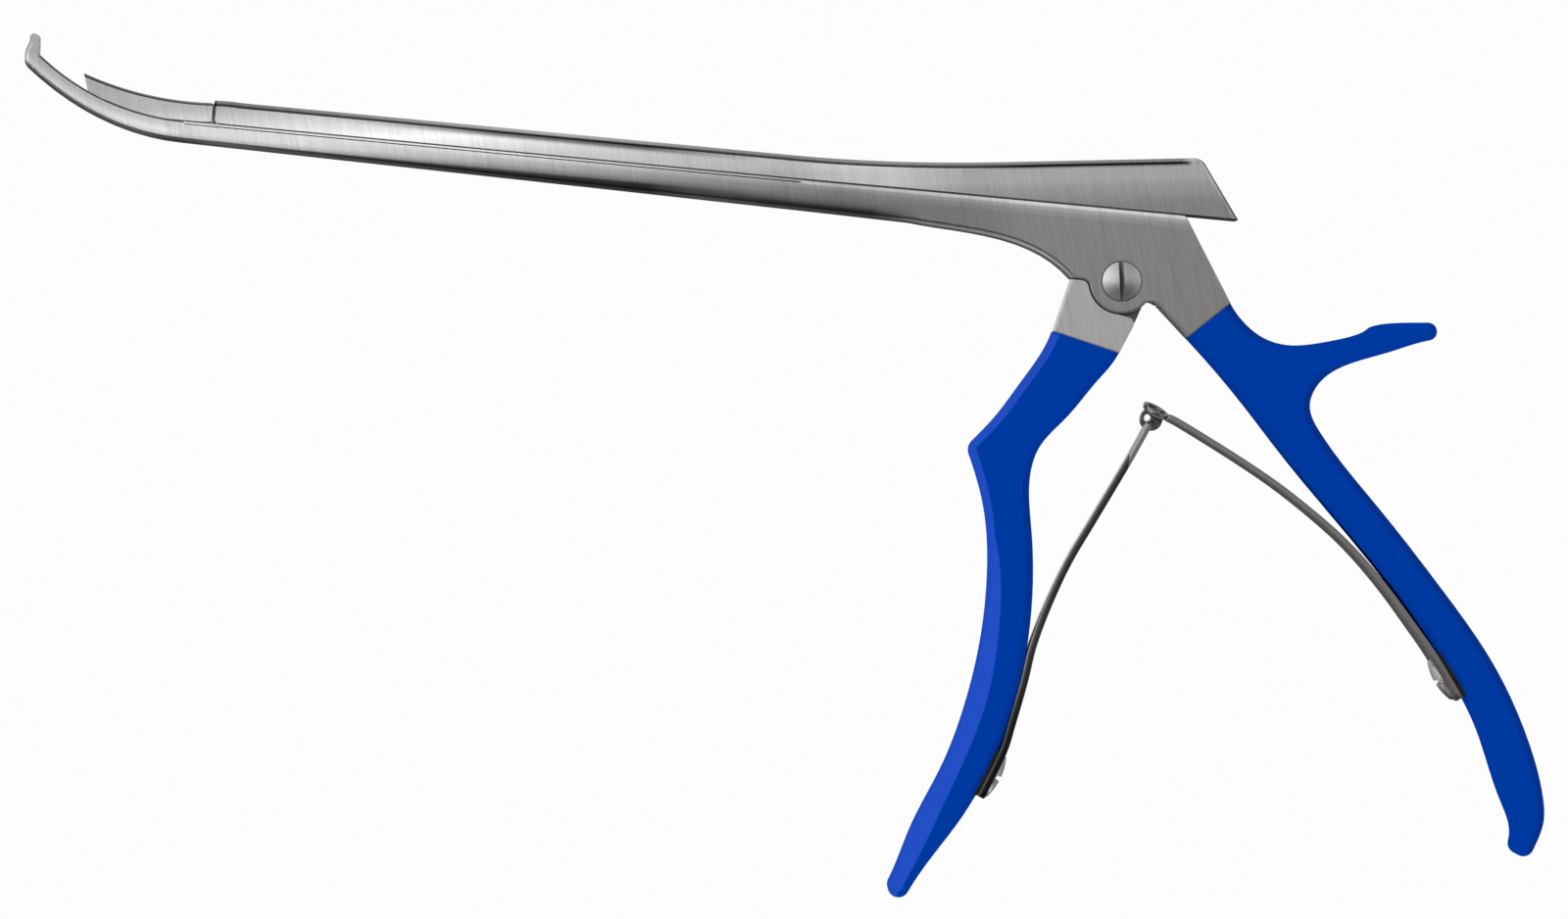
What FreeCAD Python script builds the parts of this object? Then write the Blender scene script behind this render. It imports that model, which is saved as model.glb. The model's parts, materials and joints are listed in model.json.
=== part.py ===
import FreeCAD, Part
import math
import os

os.makedirs("parts", exist_ok=True)

# A bone rongeur with a curved tip: a slide runs along a fixed shaft and pushes a curved cutter
# up to the foot at the tip. Everything is drawn about the pivot, with X back along the shaft,
# Y across it and Z up, and the finished instrument is then stood on its two handle ends.

# Shaft and sliding plane
PLANE_HEIGHT = 11.9            # sliding plane above the pivot axis
SLIDE_REACH = 152.3            # pivot to the front end of the straight slide
SLIDE_TRAVEL = 9.6
BARREL_WIDTH = 4.4
HEAD_WIDTH = 8.0
BARREL_END = 56.0              # where the barrel starts to widen, ahead of the pivot
HEAD_START = 28.0              # where it has its full width, ahead of the pivot
SHAFT_DEPTH_FRONT = 3.5        # lower shaft at the start of the bend
SHAFT_DEPTH_REAR = 5.35        # lower shaft at the foot of the head
SHAFT_REAR = 36.0              # where the underside turns down to the head
BARREL_ROUND = 0.8             # rounding along the lower shaft's underside
HEAD_ROUND = 0.4               # rounding of the head's edges
RAIL_HEIGHT = 0.4              # bright bevel along the lower shaft's top edge
RAIL_DEPTH = 0.08
RAIL_LINE = 0.1                # fine groove under that bevel

# Curved tip and jaw
BEND_RADIUS = 40.0             # of the track that the cutter follows
TIP_ANGLE = 38.9               # turn of the track up to the foot
SHAFT_DEPTH_TIP = 2.9          # lower shaft at the foot
FOOT_WIDTH = 2.5
FOOT_HEIGHT = 3.3
FOOT_THICKNESS = 2.2
FOOT_TOP_THICKNESS = 1.5
FOOT_LEAN = 3.0                # of the foot's biting face, in degrees towards the tip
FOOT_HEEL = 1.5                # degrees of the bend's underside that the foot's heel takes up
CUTTER_HEIGHT_REAR = 3.45
CUTTER_HEIGHT_MIDDLE = 3.25
CUTTER_MIDDLE_TURN = 10.0
CUTTER_HEIGHT_FRONT = 2.95     # along its biting face
CUTTER_EDGE_ROUND = 0.5
CUP_DIAMETER = 1.5             # hollow in the biting face
CUP_DEPTH = 2.0
JAW_LAND = 0.04                # left between cutter and foot when the jaw is shut

# Slide
SLIDE_HEIGHT = 3.9             # over the barrel
SLIDE_HEIGHT_REAR = 9.7        # at its rear corner
SLIDE_TOP_REAR = 11.3          # rear top corner, behind the pivot
SLIDE_BOTTOM_REAR = 18.3       # rear lower corner, behind the pivot
SLIDE_RISE_RADIUS = 290.0      # of the top's gentle rise from barrel to head
SLIDE_RISE_ANGLE = 6.6         # slope of the top over the head
SLIDE_CROWN_ROUND = 1.0        # rounding along the slide's top
SLIDE_CORNER = 2.4             # rounding of the rear top corner
SLIDE_FRONT_CORNER = 1.5       # rounding of the front lower corner
RUNNING_GAP = 0.05             # between sliding faces
END_GAP = 0.2                  # between the slide's and the cutter's meeting ends
KNUCKLE_RISE = 0.08            # low crown over the hook at the slide's front end
KNUCKLE_REACH = 2.2            # of that crown to each side of the hook

# T-slot and tongues
NECK_WIDTH = 1.4
NECK_DEPTH = 0.7
TONGUE_WIDTH = 2.2
TONGUE_DEPTH = 0.75
SLOT_END = 54.5                # rear end of the T-slot, ahead of the pivot
TONGUE_END_GAP = 0.5           # left at the ends of the slot
CUTTER_TONGUE_TURN = 13.0      # degrees of arc that the cutter's tongue takes up
TONGUE_START_TURN = 0.6        # where it starts, in degrees past the start of the bend

# Hook that joins cutter and slide
HOOK_BACK = 2.4                # hook axis behind the slide's front end
HOOK_HEIGHT = 2.8              # hook axis above the sliding plane
HOOK_DIAMETER = 1.3
HOOK_LENGTH = 2.6
HOOK_NECK = 1.2
HOOK_SIDE_GAP = 0.1

# Head, pivot and trigger drive
LOBE_RADIUS = 5.4
PIVOT_DIAMETER = 4.2
SCREW_HEAD_DIAMETER = 6.4
SCREW_HEAD_HEIGHT = 0.9
SCREW_SLOT = 0.8               # width of the screws' slots
SCREW_SLOT_FLOOR = 25.0        # slope of the slot's vee floor
WEB_WIDTH = 3.0                # trigger's tang between the head's cheeks
WEB_GAP = 0.06                 # each side of the tang
ARM_LENGTH = 17.0              # pivot to the centre of the round drive end
DRIVE_DIAMETER = 4.6
DRIVE_GAP = 0.09
DRIVE_FLARE = 0.9              # of the notch's mouth to each side
ARM_WIDTH = 3.1
SHOULDER_GAP = 0.15            # between the trigger's shoulder and the head's lobe
HOLE_GAP = 0.05                # round the screw in the trigger
HEAD_REAR = 9.5                # rear end of the head's flat top
CROTCH = (6.2, -3.2)           # corner between the lobe and the rear handle
CROTCH_ARCH = (5.15, -4.05)    # centre of the small arch filed into that corner
CROTCH_ARCH_DIAMETER = 2.3
LOBE_END_TURN = -37.0          # where the lobe ends beside the corner
SHOULDER_TOP = -0.3            # flat that stops the open trigger
SHOULDER_REACH = 8.4
SHOULDER_ROUND = 1.3           # rounding between that flat and the lobe
CHEEK_CORNER = (3.1, -6.1)     # rear top corner of the trigger's full width
CHEEK_CORNER_ROUND = 1.1
CHEEK_EDGE_ROUND = 0.3
TANG_CORNER = (4.0, -3.4)      # the tang's rear edge beside the lobe

# Handles
GRIP_WIDTH = 8.6
COAT = 0.8                     # thickness of the grips' coating
GRIP_BEVEL = 1.2
NOSE_RADIUS = 1.8              # of both handle ends
COAT_TOP_OUTER = (18.3, -1.9)  # ends of the rear grip's top edge
COAT_TOP_INNER = (11.8, -8.2)
COAT_TOP_FRONT = (-10.5, -9.3) # ends of the front grip's top edge
COAT_TOP_BACK = (0.7, -11.9)
FRONT_NOSE = (-27.3, -103.2)   # centres of the rounded handle ends
REAR_NOSE = (75.0, -86.7)
FACET_SLOPE = 0.33             # of the wide bevel along the front handle's front side
HORN_CENTRE = (-20.4, -29.9)
HORN_RADIUS = 2.1
SPUR_NOSE = (51.3, -3.5)
SPUR_RADIUS = 1.5

# Return springs
LEAF_THICKNESS = 1.3
LEAF_WIDTH_ROOT = 7.8
LEAF_WIDTH_TIP = 2.6
BALL_DIAMETER = 3.9
EYE_DIAMETER = 5.2
EYE_HOLE = 3.2
EYE_TILT = 25.0                # twist of the eye about its leaf
EYE_TURN = 156.0               # the rear leaf's direction at its eye
LEAF_SCREW_HEAD = 7.4
LEAF_SCREW_HEIGHT = 1.1
LEAF_SCREW_SHANK = 3.2
LEAF_SCREW_DEPTH = 4.0
SEAT_LENGTH = 8.2              # steel seat under each leaf's root
SEAT_DEPTH = 3.0
BALL_PLACE = (7.2, -22.2)
FRONT_ROOT = (-13.7, -83.4)    # leaf's mid-thickness under its screw
FRONT_ROOT_TURN = 69.0         # leaf's direction there, degrees up from the rear
REAR_ROOT = (59.7, -60.3)
REAR_ROOT_TURN = 126.0

# Places worked out from the sizes above
BEND_START = -(SLIDE_REACH + SLIDE_TRAVEL / 2)
BEND_CENTRE_HEIGHT = PLANE_HEIGHT + BEND_RADIUS
HOOK_X = -SLIDE_REACH + HOOK_BACK
HOOK_Z = PLANE_HEIGHT + HOOK_HEIGHT
HOOK_REACH = math.hypot(HOOK_X - BEND_START, BEND_CENTRE_HEIGHT - HOOK_Z)
HOOK_START = -math.asin((HOOK_X - BEND_START) / HOOK_REACH)
CUTTER_TURN = math.degrees(math.asin(SLIDE_TRAVEL / HOOK_REACH + math.sin(HOOK_START)) - HOOK_START)
ARM_SWING = math.degrees(math.asin(SLIDE_TRAVEL / 2 / ARM_LENGTH))


def at(x, z, y=0.0):
    """A point x behind and z above the pivot."""
    return FreeCAD.Vector(x, y, z)


def on_bend(turn, radius):
    """A point on a circle about the bend's centre, turn degrees on towards the tip."""
    angle = math.radians(turn)
    return at(BEND_START - radius * math.sin(angle), BEND_CENTRE_HEIGHT - radius * math.cos(angle))


def round_pivot(angle, radius, centre=(0.0, 0.0)):
    """A point on a circle about the pivot or another centre, angle degrees up from the rear."""
    turn = math.radians(angle)
    return at(centre[0] + radius * math.cos(turn), centre[1] + radius * math.sin(turn))


def line(start, end):
    return Part.LineSegment(start, end).toShape()


def arc(start, middle, end):
    return Part.Arc(start, middle, end).toShape()


def side_face(*edges):
    """A flat face in the instrument's mid-plane, from its outline's edges."""
    return Part.Face(Part.Wire(edges))


def polygon_face(*points):
    corners = [at(x, z) for x, z in points]
    return Part.Face(Part.makePolygon(corners + corners[:1]))


def slab(face, width):
    """A side face given its width, half to each side of the mid-plane."""
    body = face.copy()
    body.translate(FreeCAD.Vector(0, -width / 2, 0))
    return body.extrude(FreeCAD.Vector(0, width, 0))


def cross_pin(x, z, diameter, length):
    """A cylinder across the instrument, centred on its mid-plane."""
    return Part.makeCylinder(diameter / 2, length, at(x, z, -length / 2), FreeCAD.Vector(0, 1, 0))


def box(x_low, x_high, width, z_low, z_high):
    return Part.makeBox(x_high - x_low, width, z_high - z_low, at(x_low, z_low, -width / 2))


def turned_on_bend(shape, turn):
    """A copy moved along the bend, turn degrees on towards the tip."""
    moved = shape.copy()
    moved.rotate(at(BEND_START, BEND_CENTRE_HEIGHT), FreeCAD.Vector(0, 1, 0), turn)
    return moved


def plan_envelope():
    """The instrument's width seen from above: full at the head, slim along the barrel."""
    barrel = BARREL_WIDTH / 2
    head = HEAD_WIDTH / 2
    foot = FOOT_WIDTH / 2
    tip = on_bend(TIP_ANGLE, BEND_RADIUS).x
    foot_end = tip - FOOT_THICKNESS - 6
    rear_end = SLIDE_BOTTOM_REAR + 20
    flare = FreeCAD.Vector(1, 0, 0)

    def corner(x, y):
        return FreeCAD.Vector(x, y, -30)

    def half(side):
        to_foot = Part.BSplineCurve()
        to_foot.interpolate([corner(BEND_START, side * barrel), corner(tip + 1, side * foot)],
                            InitialTangent=-flare, FinalTangent=-flare)
        to_head = Part.BSplineCurve()
        to_head.interpolate([corner(-HEAD_START, side * head), corner(-BARREL_END, side * barrel)],
                            InitialTangent=-flare, FinalTangent=-flare)
        return [
            line(corner(rear_end, side * head), corner(-HEAD_START, side * head)),
            to_head.toShape(),
            line(corner(-BARREL_END, side * barrel), corner(BEND_START, side * barrel)),
            to_foot.toShape(),
            line(corner(tip + 1, side * foot), corner(foot_end, side * foot)),
        ]

    edges = half(-1)
    edges.append(line(corner(foot_end, -foot), corner(foot_end, foot)))
    edges += half(1)
    edges.append(line(corner(rear_end, head), corner(rear_end, -head)))
    outline = Part.Wire(Part.__sortEdges__(edges))
    return Part.Face(outline).extrude(FreeCAD.Vector(0, 0, 70))


def bend_block(inner, outer, start, end, width):
    """Part of a ring about the bend's centre, between two radii and two turns."""
    middle = (start + end) / 2
    face = side_face(
        arc(on_bend(start, inner), on_bend(middle, inner), on_bend(end, inner)),
        line(on_bend(end, inner), on_bend(end, outer)),
        arc(on_bend(end, outer), on_bend(middle, outer), on_bend(start, outer)),
        line(on_bend(start, outer), on_bend(start, inner)),
    )
    return slab(face, width)


def shoulder_round(gap):
    """Rounding between flat shoulder and lobe, a gap away from the head, from the lobe on."""
    radius = SHOULDER_ROUND - gap
    low = SHOULDER_TOP - SHOULDER_ROUND
    centre = (-math.sqrt((LOBE_RADIUS + SHOULDER_ROUND) ** 2 - low ** 2), low)
    on_lobe = math.degrees(math.atan2(-low, -centre[0]))
    return [round_pivot(angle, radius, centre) for angle in (on_lobe, (on_lobe + 90) / 2, 90)]


def head_edges():
    """The head's outline from its rear top corner round to the shaft's underside."""
    crotch = at(*CROTCH)
    lobe_end = round_pivot(LOBE_END_TURN, LOBE_RADIUS)
    shoulder = shoulder_round(0)
    shaft_rear = at(-SHAFT_REAR, PLANE_HEIGHT - SHAFT_DEPTH_REAR)
    underside = Part.BSplineCurve()
    underside.interpolate([at(-SHOULDER_REACH, SHOULDER_TOP), at(-13.6, 3.2), at(-20.7, 5.25), shaft_rear],
                          FinalTangent=FreeCAD.Vector(-1, 0, 0))
    return [
        line(at(HEAD_REAR, PLANE_HEIGHT), at(*COAT_TOP_OUTER)),
        line(at(*COAT_TOP_OUTER), at(*COAT_TOP_INNER)),
        line(at(*COAT_TOP_INNER), crotch),
        line(crotch, lobe_end),
        arc(lobe_end, at(0, -LOBE_RADIUS), shoulder[0]),
        arc(*shoulder),
        line(shoulder[2], at(-SHOULDER_REACH, SHOULDER_TOP)),
        underside.toShape(),
    ]


def shaft_face():
    """Side outline of the lower shaft, its foot and the head."""
    seat = on_bend(TIP_ANGLE, BEND_RADIUS)
    lean = math.tan(math.radians(FOOT_LEAN))
    top_inner = at(seat.x - lean * FOOT_HEIGHT, seat.z + FOOT_HEIGHT - FOOT_TOP_THICKNESS / 2)
    top_outer = at(top_inner.x - FOOT_TOP_THICKNESS, top_inner.z)
    crown = at(top_inner.x - FOOT_TOP_THICKNESS / 2, seat.z + FOOT_HEIGHT)
    under_turn = TIP_ANGLE - FOOT_HEEL
    under = on_bend(under_turn, BEND_RADIUS + SHAFT_DEPTH_TIP)
    onward = round_pivot(180 - under_turn, 1)
    back = Part.BSplineCurve()
    back.interpolate([
        under,
        at(seat.x - FOOT_THICKNESS, seat.z - 1.6),
        at(seat.x - FOOT_THICKNESS - 0.05, seat.z + 0.7),
        top_outer,
    ], InitialTangent=onward, FinalTangent=FreeCAD.Vector(0.2, 0, 1))
    bend_top = at(BEND_START, PLANE_HEIGHT)
    bend_under = at(BEND_START, PLANE_HEIGHT - SHAFT_DEPTH_FRONT)
    middle_depth = (SHAFT_DEPTH_FRONT + SHAFT_DEPTH_TIP) / 2
    bend = Part.BSplineCurve()
    bend.interpolate([bend_under, on_bend(TIP_ANGLE / 2, BEND_RADIUS + middle_depth), under],
                     InitialTangent=at(-1, 0), FinalTangent=onward)
    return side_face(
        arc(seat, on_bend(TIP_ANGLE / 2, BEND_RADIUS), bend_top),
        line(bend_top, at(HEAD_REAR, PLANE_HEIGHT)),
        *head_edges(),
        line(at(-SHAFT_REAR, PLANE_HEIGHT - SHAFT_DEPTH_REAR), bend_under),
        bend.toShape(),
        back.toShape(),
        arc(top_outer, crown, top_inner),
        line(top_inner, seat),
    )


def long_edges(shape, keep):
    """Edges that run along one side of the instrument, where keep allows their middle."""
    chosen = []
    for edge in shape.Edges:
        extent = edge.BoundBox
        one_side = extent.YMin * extent.YMax > 0
        seam = extent.XLength < 0.01 and extent.ZLength > 0.5
        middle = edge.valueAt((edge.FirstParameter + edge.LastParameter) / 2)
        if one_side and not seam and keep(middle):
            chosen.append(edge)
    return chosen


def lies_on(middle, start, end):
    """Whether a side edge's middle is that of the straight line between two places."""
    halfway = (at(*start) + at(*end)) * 0.5
    return math.hypot(middle.x - halfway.x, middle.z - halfway.z) < 0.05


def t_slot():
    """Slot along the plane and on round the bend that the two tongues run in."""
    end = CUTTER_TONGUE_TURN + CUTTER_TURN + 2 * TONGUE_START_TURN
    neck_low = PLANE_HEIGHT - NECK_DEPTH
    neck_bend = BEND_RADIUS + NECK_DEPTH
    tongue_low = neck_low - TONGUE_DEPTH
    neck = box(BEND_START, -SLOT_END, NECK_WIDTH, neck_low, PLANE_HEIGHT + 1)
    wide = box(BEND_START, -SLOT_END, TONGUE_WIDTH, tongue_low, neck_low)
    bent_neck = bend_block(BEND_RADIUS - 1, neck_bend, 0, end, NECK_WIDTH)
    bent_wide = bend_block(neck_bend, neck_bend + TONGUE_DEPTH, 0, end, TONGUE_WIDTH)
    return neck.fuse([wide, bent_neck, bent_wide])


def bright_rail(side):
    """Shallow bevel and the fine groove under it that run along the lower shaft's top edge."""
    face = side * BARREL_WIDTH / 2
    bevel_low = PLANE_HEIGHT - RAIL_HEIGHT
    corners = [
        at(-SLIDE_REACH, PLANE_HEIGHT, face - side * RAIL_DEPTH),
        at(-SLIDE_REACH, PLANE_HEIGHT + 1, face - side * RAIL_DEPTH),
        at(-SLIDE_REACH, PLANE_HEIGHT + 1, face + side),
        at(-SLIDE_REACH, bevel_low - RAIL_LINE, face + side),
        at(-SLIDE_REACH, bevel_low - RAIL_LINE, face),
        at(-SLIDE_REACH, bevel_low - RAIL_LINE / 2, face - side * RAIL_LINE),
        at(-SLIDE_REACH, bevel_low, face),
    ]
    profile = Part.Face(Part.makePolygon(corners + corners[:1]))
    return profile.extrude(at(SLIDE_REACH - SLOT_END, 0))


def heading(start, end):
    """Direction from one place to another, in degrees up from the rear."""
    return math.degrees(math.atan2(end[1] - start[1], end[0] - start[0]))


def sweep_edge(leave, arrive, *points):
    """A smooth edge through points that starts and ends in the given directions."""
    spline = Part.BSplineCurve()
    spline.interpolate([at(x, z) for x, z in points],
                       InitialTangent=round_pivot(leave, 1), FinalTangent=round_pivot(arrive, 1))
    return spline.toShape()


def round_end(centre, radius, start, end):
    """A rounded end from angle start clockwise to angle end."""
    return arc(round_pivot(start, radius, centre), round_pivot((start + end) / 2, radius, centre),
               round_pivot(end, radius, centre))


def place(angle, radius, centre):
    spot = round_pivot(angle, radius, centre)
    return (spot.x, spot.z)


def rear_grip_face():
    """Side outline of the rear handle with its thumb spur, run up into the head."""
    above_outer = (16.2, 1.4)
    above_inner = (9.2, -5.9)
    down = heading(above_outer, COAT_TOP_OUTER)
    up = heading(COAT_TOP_INNER, above_inner)
    saddle = [(20.9, -4.9), (24.3, -7.1), (28.4, -7.9), (33.0, -7.2), (41.0, -4.5)]
    under_spur = [(45.5, -7.4), (38.4, -10.3), (34.4, -13.4), (33.0, -17.6), (35.2, -21.9)]
    outer = [(46.1, -33.5), (57.4, -45.5), (67.5, -57.6), (74.5, -70.0), (77.5, -78.4), (78.0, -82.4)]
    inner = [(71.2, -79.8), (66.1, -68.4), (58.3, -56.8), (49.4, -46.2), (30.4, -27.0)]
    return side_face(
        line(at(*above_outer), at(*COAT_TOP_OUTER)),
        sweep_edge(down, 5, COAT_TOP_OUTER, *saddle, place(95, SPUR_RADIUS, SPUR_NOSE)),
        round_end(SPUR_NOSE, SPUR_RADIUS, 95, -75),
        sweep_edge(-165, -110, place(-75, SPUR_RADIUS, SPUR_NOSE), *under_spur, *outer,
                   place(-20, NOSE_RADIUS, REAR_NOSE)),
        round_end(REAR_NOSE, NOSE_RADIUS, -20, -190),
        sweep_edge(80, up, place(-190, NOSE_RADIUS, REAR_NOSE), *inner, COAT_TOP_INNER),
        line(at(*COAT_TOP_INNER), at(*above_inner)),
        line(at(*above_inner), at(*above_outer)),
    )


def front_grip_face():
    """Side outline of the front handle with its finger horn, run up into the trigger."""
    above_back = (1.7, -9.4)
    above_front = (-9.6, -5.9)
    down = heading(above_back, COAT_TOP_BACK)
    up = heading(COAT_TOP_FRONT, above_front)
    back = [(-2.5, -16.9), (-7.0, -23.4), (-10.9, -28.6), (-12.0, -33.5), (-10.9, -42.5),
            (-9.7, -54.5), (-10.1, -65.1), (-12.9, -79.0), (-18.5, -91.8)]
    palm = [(-26.1, -93.3), (-22.0, -83.1), (-19.2, -73.1), (-17.5, -61.5), (-17.3, -52.0),
            (-18.3, -42.5)]
    neck = [(-18.3, -23.8), (-14.9, -18.2)]
    return side_face(
        line(at(*above_back), at(*COAT_TOP_BACK)),
        sweep_edge(down, -115, COAT_TOP_BACK, *back, place(-25, NOSE_RADIUS, FRONT_NOSE)),
        round_end(FRONT_NOSE, NOSE_RADIUS, -25, -200),
        sweep_edge(68, 115, place(-200, NOSE_RADIUS, FRONT_NOSE), *palm,
                   place(-155, HORN_RADIUS, HORN_CENTRE)),
        round_end(HORN_CENTRE, HORN_RADIUS, 205, 140),
        sweep_edge(50, up, place(140, HORN_RADIUS, HORN_CENTRE), *neck, COAT_TOP_FRONT),
        line(at(*COAT_TOP_FRONT), at(*above_front)),
        line(at(*above_front), at(*above_back)),
    )


def grip_core(face):
    """The steel inside a grip: its outline drawn in by the coating."""
    edges = []
    for edge in face.makeOffset2D(-COAT).OuterWire.Edges:
        if edge.Curve.TypeId == "Part::GeomOffsetCurve":
            edge = edge.Curve.toBSpline(edge.FirstParameter, edge.LastParameter).toShape()
        edges.append(edge)
    outline = Part.Wire(Part.__sortEdges__(edges))
    return slab(Part.Face(outline), GRIP_WIDTH - 2 * COAT)


def grip_shell(face, core, top_start, top_end, above):
    """The coating round a handle's core, cut off square at its top edge."""
    solid = slab(face, GRIP_WIDTH)
    solid = solid.makeChamfer(GRIP_BEVEL, long_edges(solid, lambda middle: True))
    beyond = polygon_face(top_start, top_end, above[0], above[1])
    return solid.cut([core, slab(beyond, 2 * GRIP_WIDTH)])


def front_facet(side):
    """Long wedge that takes the wide bevel off one side of the front handle's front edge."""
    inner = [(-17.4, -42.5), (-15.9, -47.5), (-15.0, -53.5), (-14.8, -61.0), (-15.2, -67.7), (-16.4, -74.3),
             (-18.1, -80.2), (-20.5, -87.0), (-22.9, -93.7), (-25.6, -100.5), (-27.3, -104.8), (-28.9, -108.8)]
    face = GRIP_WIDTH / 2
    reach = 6.0
    sections = []
    for before, spot, after in zip(inner[:1] + inner[:-1], inner, inner[1:] + inner[-1:]):
        outward = round_pivot(heading(before, after) - 90, 1)
        start = at(*spot) - outward * 0.3
        end = at(*spot) + outward * reach
        corners = [
            FreeCAD.Vector(start.x, side * (face + 0.3 * FACET_SLOPE), start.z),
            FreeCAD.Vector(end.x, side * (face - reach * FACET_SLOPE), end.z),
            FreeCAD.Vector(end.x, side * (face + 1), end.z),
        ]
        sections.append(Part.makePolygon(corners + corners[:1]))
    return Part.makeLoft(sections, True)


def leaf_frame(root, turn, side):
    """Direction along a leaf's root and the direction from it into its handle."""
    along = round_pivot(turn, 1)
    into = round_pivot(turn + side * 90, 1)
    return along, into


def leaf_band(root, root_turn, tip_turn, points):
    """A leaf's side outline: an even band, straight on its seat, then along a smooth line."""
    points = [place(root_turn, SEAT_LENGTH / 2, root)] + points
    centre = Part.BSplineCurve()
    centre.interpolate([at(x, z) for x, z in points],
                       InitialTangent=round_pivot(root_turn, 1), FinalTangent=round_pivot(tip_turn, 1))
    edges = []
    ends = []
    for side in (1, -1):
        rail = []
        for x, z in points:
            tangent = centre.tangent(centre.parameter(at(x, z)))[0]
            across = at(-tangent.z, tangent.x) * (side * LEAF_THICKNESS / 2)
            rail.append(at(x, z) + across)
        spline = Part.BSplineCurve()
        spline.interpolate(rail, InitialTangent=round_pivot(root_turn, 1),
                           FinalTangent=round_pivot(tip_turn, 1))
        low = rail[0] - round_pivot(root_turn, SEAT_LENGTH)
        edges += [line(low, rail[0]), spline.toShape()]
        ends.append((low, rail[-1]))
    edges += [line(ends[0][0], ends[1][0]), line(ends[0][1], ends[1][1])]
    return Part.Face(Part.Wire(Part.__sortEdges__(edges)))


def leaf_taper(start, end, width_start, width_end, reach):
    """A wedge that narrows a leaf from its root to its tip, seen square to the leaf."""
    along = at(end[0] - start[0], end[1] - start[1])
    length = along.Length
    along.normalize()
    across = FreeCAD.Vector(0, 1, 0)
    normal = along.cross(across)
    beyond = 6.0
    root = at(*start) - along * beyond
    tip = at(*end) + along * beyond
    slope = (width_end - width_start) / 2 / length
    half_root = width_start / 2
    half_tip = width_end / 2 + slope * beyond
    corners = [
        root + across * half_root,
        at(*start) + across * half_root,
        tip + across * half_tip,
        tip - across * half_tip,
        at(*start) - across * half_root,
        root - across * half_root,
    ]
    face = Part.Face(Part.makePolygon(corners + corners[:1]))
    face.translate(normal * -reach)
    return face.extrude(normal * (2 * reach))


def leaf_hole(root, turn, side):
    """Hole for a leaf's screw, from the leaf down into the handle."""
    into = leaf_frame(root, turn, side)[1]
    start = at(*root) - into * LEAF_THICKNESS
    length = LEAF_THICKNESS * 1.5 + LEAF_SCREW_DEPTH
    return Part.makeCylinder(LEAF_SCREW_SHANK / 2, length, start, into)


def leaf_screw(root, turn, side, slot_turn):
    """Low domed screw that holds a leaf's root down on its seat."""
    into = leaf_frame(root, turn, side)[1]
    base = at(*root) - into * (LEAF_THICKNESS / 2)
    head = domed_head(base, into * -1, LEAF_SCREW_HEAD, LEAF_SCREW_HEIGHT, slot_turn)
    shank = Part.makeCylinder(LEAF_SCREW_SHANK / 2, LEAF_THICKNESS + LEAF_SCREW_DEPTH, base, into)
    return head.fuse(shank)


def domed_head(base, outward, diameter, height, slot_turn):
    """A slotted screw head with a short rim and a shallow dome, standing on base."""
    rim = height * 0.35
    radius = diameter / 2
    dome_height = height - rim
    sphere_radius = (radius ** 2 + dome_height ** 2) / (2 * dome_height)
    centre = base + outward * (height - sphere_radius)
    dome = Part.makeSphere(sphere_radius, centre)
    head = Part.makeCylinder(radius, height + 1, base, outward).common(dome)
    across = FreeCAD.Vector(0, 1, 0) if abs(outward.y) < 0.5 else at(0, 1)
    half = SCREW_SLOT / 2
    floor = height * 0.3
    end = -diameter / 2 - 1
    corners = [
        FreeCAD.Vector(end, 0, floor - half * math.tan(math.radians(SCREW_SLOT_FLOOR))),
        FreeCAD.Vector(end, half, floor),
        FreeCAD.Vector(end, half, height + 1),
        FreeCAD.Vector(end, -half, height + 1),
        FreeCAD.Vector(end, -half, floor),
    ]
    profile = Part.Face(Part.makePolygon(corners + corners[:1]))
    slot = profile.extrude(FreeCAD.Vector(-2 * end, 0, 0))
    slot.rotate(FreeCAD.Vector(0, 0, 0), FreeCAD.Vector(0, 0, 1), slot_turn)
    slot.Placement = FreeCAD.Placement(base, frame_rotation(across, outward)).multiply(slot.Placement)
    return head.cut(slot)


def frame_rotation(x_axis, z_axis):
    """Rotation that lays X along x_axis and Z along z_axis."""
    return FreeCAD.Rotation(x_axis, z_axis.cross(x_axis), z_axis, "ZXY")


def leaf_seat(root, turn, side, leaf):
    """Steel seat that stands up out of the handle's core under a leaf's root."""
    along, into = leaf_frame(root, turn, side)
    middle = at(*root)
    corners = [
        middle + along * (SEAT_LENGTH / 2),
        middle + along * (SEAT_LENGTH / 2) + into * SEAT_DEPTH,
        middle - along * (SEAT_LENGTH / 2) + into * SEAT_DEPTH,
        middle - along * (SEAT_LENGTH / 2),
    ]
    face = Part.Face(Part.makePolygon(corners + corners[:1]))
    return slab(face, GRIP_WIDTH - 2 * COAT).cut(leaf)


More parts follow.
